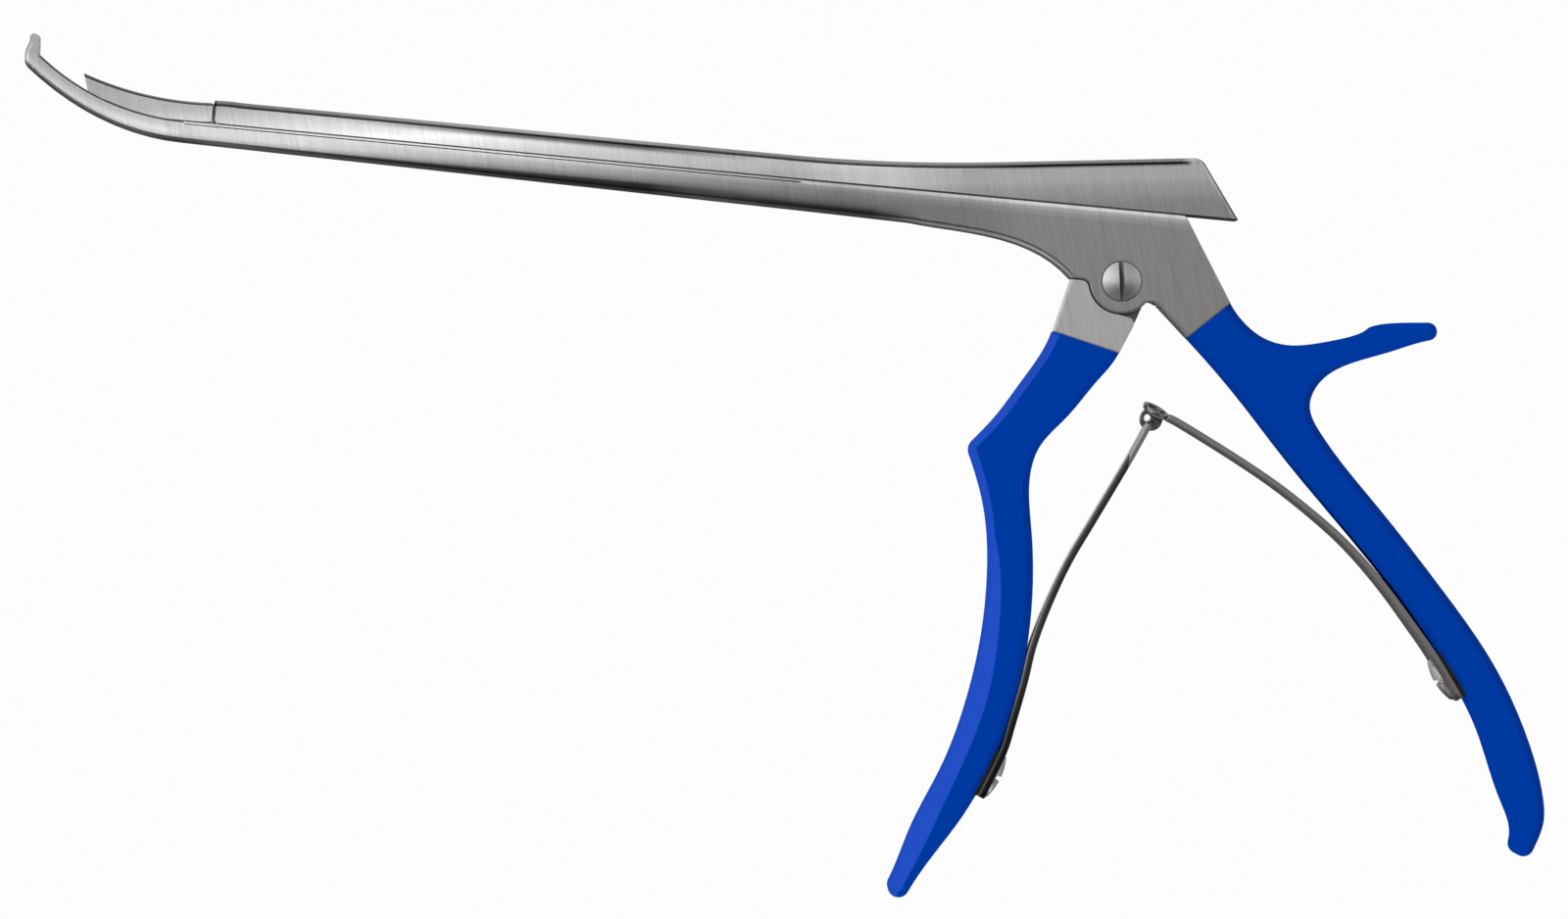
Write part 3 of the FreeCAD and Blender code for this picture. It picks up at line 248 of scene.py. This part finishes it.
def make_steel(name, colour, grades=(), roughness=SATIN_ROUGHNESS, depth=SATIN_DEPTH, shade=SATIN_SHADE):
    """Steel with strokes of a depth in mm that vary its shade a little, and with grades of painted light
    and shade over them.
    """
    material = bpy.data.materials.new(name)
    material.use_nodes = True
    tree = material.node_tree
    where = add_node(tree, "ShaderNodeTexCoord")
    side_place = add_node(tree, "ShaderNodeVectorMath", operation="MULTIPLY")
    side_place.inputs[1].default_value = (1, 0, 1)
    tree.links.new(where.outputs["Object"], side_place.inputs[0])
    sources = {"place": where.outputs["Object"], "side_place": side_place.outputs["Vector"],
               "direction": where.outputs["Normal"]}
    strokes = add_strokes(tree, where.outputs["Object"])
    tones = add_node(tree, "ShaderNodeMapRange", From_Min=0.3, From_Max=0.7, To_Min=1 - shade,
                     To_Max=1 + shade)
    tinted = add_node(tree, "ShaderNodeVectorMath", operation="SCALE")
    tinted.inputs[0].default_value = colour
    tree.links.new(strokes, tones.inputs["Value"])
    tree.links.new(tones.outputs["Result"], tinted.inputs["Scale"])
    shaded = tinted.outputs["Vector"]
    for grade in grades:
        level = add_grade(tree, sources[grade.source], grade.measure, grade.reference, grade.stops)
        if grade.stretch:
            stretch = along_shaft(grade.stretch)
            strength = add_grade(tree, sources["place"], stretch.measure, stretch.reference, stretch.stops)
            level = weigh(tree, level, strength)
        shaded = combine(tree, "MULTIPLY", shaded, level)
    bump = add_node(tree, "ShaderNodeBump", Strength=1.0, Distance=depth * MM)
    tree.links.new(strokes, bump.inputs["Height"])
    surface = tree.nodes["Principled BSDF"]
    surface.inputs["Metallic"].default_value = 1
    surface.inputs["Roughness"].default_value = roughness
    tree.links.new(shaded, surface.inputs["Base Color"])
    tree.links.new(bump.outputs["Normal"], surface.inputs["Normal"])
    return material


def paint(name, material):
    """Gives a node of the frame its finish."""
    node = frame["nodes"][name]
    node.data.materials.clear()
    node.data.materials.append(material)


paint("frame", make_steel("frame_steel", SATIN_COLOUR, [
    # the sheen from the foot to the head
    along_shaft([(-185, 1.15), (-172, 1.15), (-160, 1.55), (-153, 1.95), (-135, 2.05), (-105, 1.92),
                 (-75, 1.3), (-60, 1.12), (-48, 0.68), (-38, 0.74), (-15, 1.35)]),
    # darker downwards on the rear part of the bar, the head and the handle
    above_pivot([(9.4, 0.6), (10.4, 0.76), (11.2, 1.1), (12, 1.2)], [(-140, 0), (-105, 1)]),
    # painted shade on the underside of the bar, and of its deeper part before the head
    above_pivot([(8.4, 0.08), (8.7, 0.15), (9.0, 0.6), (9.7, 0.95), (10.2, 1)],
                [(-163, 0), (-158, 1), (-80, 1), (-55, 0)]),
    along(0, UNDERSIDE_SLOPE, 1, [(6.5, 0.25), (7.0, 0.15), (7.4, 0.5), (8.0, 0.8), (8.6, 1)],
          [(-85, 0), (-60, 1), (-42, 1), (-34, 0)]),
    # the seat of the rear spring
    above_pivot([(-45, 0.25), (-30, 1)]),
    # painted shade on the underside of the bend, and on the foot's front and back
    facing(shaft_up, [(-1, 0.1), (-0.6, 0.1), (-0.35, 0.3), (-0.2, 1), (0, 1)], [(-160, 1), (-150, 0)]),
    facing(shaft_back, [(-1, 0.5), (-0.3, 0.9), (-0.05, 1), (0.05, 1), (0.3, 0.6), (1, 0.4)],
           [(-182, 1), (-178, 0)]),
    # painted light on the bend's side, lighter downwards, and painted shade in the dark line along its top
    # edge
    around(BEND_CENTRE, [(40.2, 0.88), (40.8, 0.92), (41.3, 1.1), (41.9, 1.3), (42.3, 1.1)],
           [(-187, 0), (-184, 1), (-160, 1), (-157, 0)]),
    around(BEND_CENTRE, [(39, 1), (39.9, LINE_SHADE), (40.26, LINE_SHADE), (40.3, 1)],
           [(-182.2, 0), (-182, 1), (BEND_START, 1), (-157, 0)]),
    # painted shade in the double line, and a painted highlight on the lit edge and painted shade in the
    # single line that follow it to the rear
    above_pivot([(11.32, 1), (11.34, LINE_SHADE), (11.5, LINE_SHADE), (11.52, 1.1), (11.78, 1.1),
                 (11.8, LINE_SHADE), (12, LINE_SHADE)],
                [(BEND_START, 0), (-157, 1), (LINES_END, 1), (-54, 0)]),
    above_pivot([(11.1, 1), (11.3, 1.5), (11.68, 1.5), (11.76, LINE_SHADE), (12, LINE_SHADE)],
                [(-55, 0), (-54, 1)]),
    # painted shade on the head's rear end, in the gap round the screw and at the edge of the coating
    facing(rear_end, [(-1, 1), (0.65, 1), (0.75, 0.3), (1, 0.3)], [(5, 0), (7, 1)]),
    around((0, 0), [(3.2, 0.35), (3.36, 0.35), (3.42, 1), (5, 1)]),
    along(0, *REAR_HANDLE_DOWN, [(13.9, 1), (13.95, 0.4), (14.1, 0.4)])]))

# Slide and cutter
# The slide is a bar of the same steel. It runs on the frame in a T-slot, and the trigger pushes it
# from inside the head. The curved cutter hooks into its front end and has the same finish.
SLIDE_LIGHT_SLOPE = -0.115
SLIDE_TOP_SLOPE = -0.1157
slide_steel = make_steel("slide_steel", SATIN_COLOUR, [
    # the sheen, brightest on the bar's front half and darkest low down at the rear
    along(0, SLIDE_LIGHT_SLOPE, 1, [
        (12.8, 0.81), (14.5, 1.0), (16, 1.14), (17, 1.32), (19.2, 1.34), (20, 1.5), (22.7, 1.76),
        (24, 2.0), (26.5, 2.9), (28, 2.3), (32, 1.2), (36, 1.05)]),
    # painted shade in the joint between slide and cutter
    along_shaft([(-152.35, 1), (-152.3, LINE_SHADE), (-151.95, LINE_SHADE), (-151.9, 1)]),
    # painted shade on the top, dark on its rounded edges, and on the slanting rear end
    facing(shaft_up, [(-1, 0.6), (-0.2, 0.5), (0, 1), (0.05, 0.1), (0.35, 0.1), (0.5, 0.4), (1, 0.45)],
           [(8, 1), (10, 0)]),
    facing(rear_end, [(-1, 1), (0.65, 1), (0.75, 0.15), (1, 0.2)], [(9, 0), (11, 1)]),
    # a dark line of painted shade under the top edge, straight along the bar and rising over the head
    above_pivot([(13.8, 1), (14.1, 0.75), (14.4, 0.3), (14.7, 0.15), (15, 0.15), (15.1, 0.8), (15.2, 1)],
                [(-135, 0), (-105, 1), (-80, 1), (-60, 0)]),
    along(0, SLIDE_TOP_SLOPE, 1, [(18.9, 1), (19.35, 0.25), (19.65, 0.25), (19.75, 1)],
          [(-26, 0), (-18, 1), (9, 1), (10, 0)]),
    # painted shade along the lower edge
    above_pivot([(11.95, LINE_SHADE), (12.04, LINE_SHADE), (12.06, 1)])])
paint("slide", slide_steel)
paint("cutter", slide_steel)

# Trigger
# A lever of the same steel that turns on the pivot screw, a shade lighter than the frame. Its
# thin tang lies in shadow inside the head, and its cheeks below the head catch the light.
TRIGGER_COLOUR = (0.42, 0.415, 0.41)
FRONT_HANDLE_UP = (0.226, 0.974)
paint("trigger", make_steel("trigger_steel", TRIGGER_COLOUR, [
    # painted shade in the middle across the instrument, where the tang is
    along(1, 0, 0, [(-4, 1), (-2, 1), (-1.9, 0.2), (1.9, 0.2), (2, 1), (4, 1)]),
    # painted shade on the front face and at the edge of the coating, and darker on the seat of the front
    # spring
    facing(rearward, [(-1, 0.45), (-0.6, 0.45), (-0.2, 1), (1, 1)]),
    above_pivot([(-45, 0.15), (-30, 1)]),
    along(0, *FRONT_HANDLE_UP, [(-11.4, 0.4), (-11.28, 0.4), (-11.22, 1)])]))

# Handle coating
# A matte blue coat over the steel cores of both handles. Its colour carries painted light and
# shade: lighter on the front handle's front bevels and darker where it faces the rear.
# the coat's own blue, and lit and shaded copies of it for painted light and shade
BLUE = (0, 0.043, 0.36)
SHADED_BLUE = (0.002, 0.032, 0.265)
FRONT_LIT_BLUE = (0.012, 0.07, 0.5)
LIT_BLUE = (0.017, 0.081, 0.57)
COATING_ROUGHNESS = 0.55


def make_coating(name, stops):
    """Matte coating whose colour follows how far it faces to the rear, as painted light and shade."""
    material = bpy.data.materials.new(name)
    material.use_nodes = True
    tree = material.node_tree
    surface = tree.nodes["Principled BSDF"]
    surface.inputs["Roughness"].default_value = COATING_ROUGHNESS
    surface.inputs["Specular IOR Level"].default_value = 0
    where = add_node(tree, "ShaderNodeTexCoord")
    blue = add_grade(tree, where.outputs["Normal"], "DOT_PRODUCT", rearward, stops)
    tree.links.new(blue, surface.inputs["Base Color"])
    return material


paint("front_grip", make_coating("front_coating", [
    (-1, FRONT_LIT_BLUE), (-0.4, LIT_BLUE), (-0.25, LIT_BLUE), (-0.1, BLUE), (0.4, BLUE), (1, SHADED_BLUE)]))
paint("rear_grip", make_coating("rear_coating", [
    (-1, BLUE), (0.2, BLUE), (0.6, SHADED_BLUE), (1, SHADED_BLUE)]))

# Pivot screw
# A slotted steel screw with a low dome, turned and polished, that holds the trigger in the head.
# The floor of its slot lies in shadow.
POLISHED_DEPTH = 0.002
POLISHED_SHADE = 0.04
SCREW_COLOUR = (0.44, 0.435, 0.43)
paint("pivot_screw", make_steel("screw_steel", SCREW_COLOUR, [
    # painted shadow from the slot's floor to the far end, and painted shade a little uneven from front to
    # rear
    along(1, 0, 0, [(-4.5, 1), (-4.32, 1), (-4.3, 0.2), (-4, 0.2)]),
    facing(rearward, [(-0.4, 0.83), (0, 0.9), (0.4, 0.78)])],
    roughness=0.36, depth=POLISHED_DEPTH, shade=POLISHED_SHADE))

# Spring screws
# Two small polished steel screws that hold the leaves' roots on the handles' seats. Their heads
# carry a painted highlight, brightest where they face a little downwards.
SPRING_SCREW_COLOUR = (0.36, 0.355, 0.35)
spring_screw_steel = make_steel("spring_screw_steel", SPRING_SCREW_COLOUR, [
    # a painted highlight where the heads face a little downwards
    facing(shaft_up, [(-1, 0.4), (-0.75, 0.4), (-0.6, 1.4), (-0.36, 1.4), (-0.15, 1), (1, 1)])],
    roughness=0.4, depth=POLISHED_DEPTH, shade=POLISHED_SHADE)
paint("front_spring_screw", spring_screw_steel)
paint("rear_spring_screw", spring_screw_steel)

# Front spring
# A tapered leaf of ground spring steel, screwed flat to the front handle. The real one bends along
# its free length as the handles close; here it keeps its shape at rest. The polished ball at its end
# is dark but for one painted highlight.
BALL_COLOUR = (0.3, 0.295, 0.29)
BALL_PLACE = (7.2, -22.2)
BALL_DIAMETER = 3.9
# the way the ball faces where its painted highlight sits
HIGHLIGHT_DIRECTION = Vector((-0.4, -0.9, 0.13))
FRONT_LEAF_COLOUR = (0.25, 0.245, 0.24)
FRONT_LEAF_DEPTH = 0.004
FRONT_LEAF_SHADE = 0.1
FRONT_LEAF_EDGE = 0.3
FRONT_ROOT = (-13.7, -83.4)
FRONT_ROOT_TURN = math.radians(69)
FRONT_LEAF_LINE = [(-11.15, -74.7), (-9.75, -67.3), (-8.9, -61.5), (-7.1, -54.8), (-4.4, -47.2),
                   (-0.8, -39.6), (4.1, -29.3)]
LEAF_THICKNESS = 1.3
LEAF_WIDTH_ROOT = 7.8
LEAF_WIDTH_TIP = 2.6
LEAF_STEPS = 5
SEAT_HALF = 4.1


def seat_ends(root, turn):
    """Both ends of the flat stretch under a leaf's screw."""
    across = SEAT_HALF * math.cos(turn)
    rise = SEAT_HALF * math.sin(turn)
    return [(root[0] - across, root[1] - rise), (root[0] + across, root[1] + rise)]


def smooth_line(points, steps):
    """A smooth line through the points, in steps between each two."""
    line = [points[0]]
    for index in range(len(points) - 1):
        before = points[max(index - 1, 0)]
        start = points[index]
        end = points[index + 1]
        after = points[min(index + 2, len(points) - 1)]
        leaving = start + (end - before) / 6
        arriving = end - (after - start) / 6
        line += interpolate_bezier(start, leaving, arriving, end, steps + 1)[1:]
    return line


def make_leaf(name, points):
    """A tapered strip drawn out step by step along its line, from its root to its tip."""
    line = smooth_line([place(*point) for point in points], LEAF_STEPS)
    steps = [after - before for before, after in zip(line[:-1], line[1:])]
    headings = [step.normalized() for step in steps]
    bpy.ops.object.select_all(action="DESELECT")
    bpy.ops.mesh.primitive_cube_add(size=1, location=(0, 0, 0))
    leaf = bpy.context.object
    leaf.name = name
    leaf.data.name = name
    turn = Vector((0, 0, 1)).rotation_difference(headings[0]).to_matrix().to_4x4()
    size = Matrix.Diagonal((LEAF_THICKNESS * MM, LEAF_WIDTH_ROOT * MM, steps[0].length, 1))
    leaf.data.transform(Matrix.Translation((line[0] + line[1]) / 2) @ turn @ size)
    bpy.ops.object.mode_set(mode="EDIT")
    bpy.ops.mesh.select_mode(type="FACE")
    bpy.ops.mesh.select_all(action="DESELECT")
    bpy.ops.object.mode_set(mode="OBJECT")
    end_face = max(leaf.data.polygons, key=lambda polygon: polygon.normal.dot(headings[0]))
    end_face.select = True
    bpy.ops.object.mode_set(mode="EDIT")
    length = sum(step.length for step in steps)
    width = LEAF_WIDTH_ROOT
    run = steps[0].length
    heading = headings[0]
    for index in range(1, len(steps)):
        centre = line[index + 1]
        bpy.ops.mesh.extrude_region_move(TRANSFORM_OT_translate={"value": steps[index]})
        ahead = headings[min(index + 1, len(headings) - 1)]
        wanted = (headings[index] + ahead).normalized()
        angle = math.atan2(heading.cross(wanted).y, heading.dot(wanted))
        bpy.ops.transform.rotate(value=-angle, orient_axis="Y", center_override=centre)
        heading = wanted
        run += steps[index].length
        tapering = max(run - 2 * SEAT_HALF * MM, 0)
        next_width = LEAF_WIDTH_ROOT + (LEAF_WIDTH_TIP - LEAF_WIDTH_ROOT) * tapering / length
        bpy.ops.transform.resize(value=(1, next_width / width, 1), center_override=centre)
        width = next_width
    bpy.ops.object.mode_set(mode="OBJECT")
    return leaf


def finish_edges(piece, width):
    """Rounds a piece's sharp edges and shades the rest smooth."""
    bpy.ops.object.select_all(action="DESELECT")
    piece.select_set(True)
    bpy.context.view_layer.objects.active = piece
    bevel = piece.modifiers.new("edges", "BEVEL")
    bevel.width = width * MM
    bevel.segments = 2
    bevel.limit_method = "ANGLE"
    bevel.angle_limit = math.radians(40)
    bpy.ops.object.modifier_apply(modifier=bevel.name)
    bpy.ops.object.shade_smooth_by_angle(angle=math.radians(35))


paint("spring_ball", make_steel("ball_steel", BALL_COLOUR, [
    # a painted highlight where the ball faces that way, and painted shade over the rest of it
    facing(HIGHLIGHT_DIRECTION, [(-1, 0.3), (0.2, 0.3), (0.6, 0.25), (0.94, 0.35), (0.965, 2.2), (1, 2.2)])],
    roughness=0.4, depth=POLISHED_DEPTH, shade=POLISHED_SHADE))
front_seat = seat_ends(FRONT_ROOT, FRONT_ROOT_TURN)
front_leaf = make_leaf("front_leaf_spring", front_seat + FRONT_LEAF_LINE + [BALL_PLACE])
finish_edges(front_leaf, FRONT_LEAF_EDGE)
front_leaf.data.materials.append(make_steel("front_spring_steel", FRONT_LEAF_COLOUR, [
    # painted shade where it faces the rear, and painted light there beside the ball
    facing(rearward, [(-1, 0.7), (-0.3, 0.7), (-0.12, 0.2), (1, 0.25)], [(4.1, 1), (4.2, 0)]),
    facing(rearward, [(-1, 0.5), (-0.3, 0.5), (-0.12, 1.1), (1, 1.1)], [(4.1, 0), (4.2, 1)]),
    # darker towards its root
    above_pivot([(-90, 0.35), (-75, 0.35), (-60, 1), (-40, 1)])],
    depth=FRONT_LEAF_DEPTH, shade=FRONT_LEAF_SHADE))
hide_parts("front_leaf_spring")
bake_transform(front_leaf)

# Rear spring
# A second, darker leaf of spring steel, screwed flat to the rear handle. The flat eye at its end
# rests on the ball; on the real instrument it turns on it as the handles close.
REAR_LEAF_COLOUR = (0.175, 0.17, 0.165)
REAR_LEAF_DEPTH = 0.001
REAR_LEAF_SHADE = 0.04
REAR_LEAF_EDGE = 0.18
REAR_ROOT = (59.7, -60.3)
REAR_ROOT_TURN = math.radians(126)
REAR_LEAF_LINE = [(53.7, -52.7), (48.4, -46.7), (43.0, -41.4), (37.8, -37.2), (29.9, -31.9),
                  (22.2, -27.6), (12.4, -22.7)]
EYE_DIAMETER = 4.8
EYE_HOLE = 3.2
EYE_THICKNESS = 0.9
EYE_GAP = 0.05
EYE_EDGE = 0.25
EYE_TURN = math.radians(156)
EYE_TILT = math.radians(15)
EYE_TO_LEAF = (2.0, -0.9)

normal_turn = EYE_TURN - math.radians(90)
eye_x = math.cos(normal_turn) * math.cos(EYE_TILT)
eye_z = math.sin(normal_turn) * math.cos(EYE_TILT)
eye_y = -math.sin(EYE_TILT)
eye_normal = shaft_back * eye_x + shaft_up * eye_z + Vector((0, eye_y, 0))
eye_lift = math.sqrt((BALL_DIAMETER / 2) ** 2 - (EYE_HOLE / 2) ** 2) + EYE_THICKNESS / 2 + EYE_GAP
eye_place = (BALL_PLACE[0] + eye_x * eye_lift, BALL_PLACE[1] + eye_z * eye_lift, eye_y * eye_lift)
rear_seat = seat_ends(REAR_ROOT, REAR_ROOT_TURN)
eye_rim = (eye_place[0] + EYE_TO_LEAF[0], eye_place[1] + EYE_TO_LEAF[1])
rear_leaf = make_leaf("rear_leaf_spring", rear_seat + REAR_LEAF_LINE + [eye_rim])
finish_edges(rear_leaf, REAR_LEAF_EDGE)

bpy.ops.object.select_all(action="DESELECT")
bpy.ops.mesh.primitive_cylinder_add(vertices=48, radius=(EYE_DIAMETER + EYE_HOLE) / 4 * MM,
                                    depth=EYE_THICKNESS * MM, end_fill_type="NOTHING", location=(0, 0, 0))
eye = bpy.context.object
eye.name = "spring_eye"
eye.data.name = "spring_eye"
eye_turned = eye_normal.to_track_quat("Z", "Y").to_matrix().to_4x4()
eye.data.transform(Matrix.Translation(place(*eye_place)) @ eye_turned)
rim = eye.modifiers.new("rim", "SOLIDIFY")
rim.thickness = (EYE_DIAMETER - EYE_HOLE) / 2 * MM
rim.offset = 0
bpy.ops.object.modifier_apply(modifier=rim.name)
finish_edges(eye, EYE_EDGE)

rear_spring_steel = make_steel("rear_spring_steel", REAR_LEAF_COLOUR, depth=REAR_LEAF_DEPTH,
                               shade=REAR_LEAF_SHADE)
bpy.ops.object.select_all(action="DESELECT")
for piece in (eye, rear_leaf):
    piece.data.materials.append(rear_spring_steel)
    piece.select_set(True)
bpy.context.view_layer.objects.active = rear_leaf
bpy.ops.object.join()
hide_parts("rear_leaf_spring")
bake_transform(rear_leaf)
